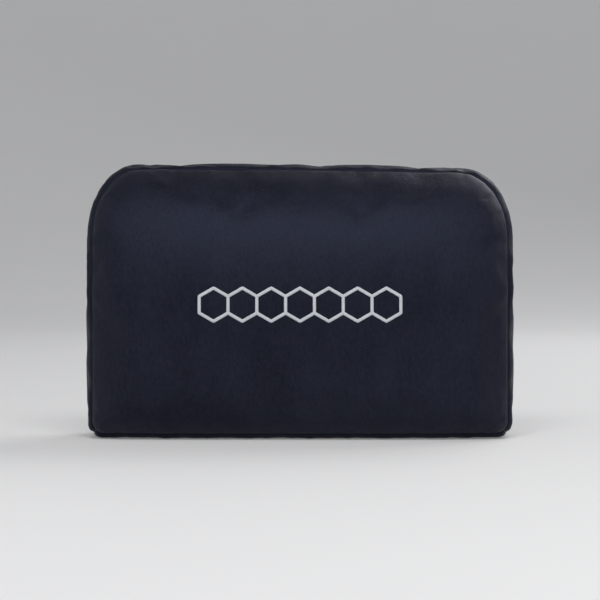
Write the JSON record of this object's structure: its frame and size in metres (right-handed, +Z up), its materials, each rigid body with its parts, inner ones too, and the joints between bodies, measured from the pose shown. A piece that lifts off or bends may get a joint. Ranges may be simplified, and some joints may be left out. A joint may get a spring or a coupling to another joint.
{
  "type": "lumbar support cushion",
  "caption": "Boxed lumbar cushion with a dark velour zip-off cover over memory foam, an embroidered motif on its front and a clip-on elastic strap across its back.",
  "frame": {"origin": "bottom centre of the whole object's box, on the plane that the cushion stands on", "axes": "+X along the cushion's length, -Y out of the crowned front that a sitter leans on, +Z up"},
  "size_m": [0.31, 0.101, 0.2],
  "materials": {
    "navy_velour": "matte",
    "memory_foam": "matte",
    "liner_mesh": "matte",
    "zip_tape": "matte",
    "zip_coil": "satin",
    "slider_metal": "satin",
    "strap_elastic": "matte",
    "buckle_plastic": "satin",
    "embroidery_thread": "satin",
    "label_satin": "satin"
  },
  "bodies": {
    "cushion": {"back_panel_lower": "navy_velour", "back_panel_upper": "navy_velour", "bottom_panel": "navy_velour", "buckle_female": "buckle_plastic", "care_label": "label_satin", "foam_core": "memory_foam", "front_embroidery": "embroidery_thread", "front_panel": "navy_velour", "inner_liner": "liner_mesh", "side_strip": "navy_velour", "strap_left": "strap_elastic", "strap_right": "strap_elastic", "zip_bottom_stop": "slider_metal", "zip_coil_lower": "zip_coil", "zip_coil_upper": "zip_coil", "zip_tape_lower": "zip_tape", "zip_tape_upper": "zip_tape", "zip_top_stop_lower": "slider_metal", "zip_top_stop_upper": "slider_metal"},
    "slider": {"zip_slider": "slider_metal"},
    "pull": {"zip_pull": "slider_metal"},
    "buckle_plug": {"buckle_male": "buckle_plastic"}
  },
  "joints": [
    {"name": "zip_slide", "type": "slide", "parent": "cushion", "child": "slider", "axis": [1, 0, 0], "range_m": [0, 0.214], "deforming": ["zip_coil_upper", "zip_coil_lower"]},
    {"name": "pull_swing", "type": "hinge", "parent": "slider", "child": "pull", "pos_m": [-0.107, 0.0433, 0.045], "axis": [0, 0, 1], "range_deg": [0, 180]},
    {"name": "buckle_release", "type": "slide", "parent": "cushion", "child": "buckle_plug", "axis": [1, 0, 0], "range_m": [0, 0.026], "deforming": ["strap_right"]}
  ]
}
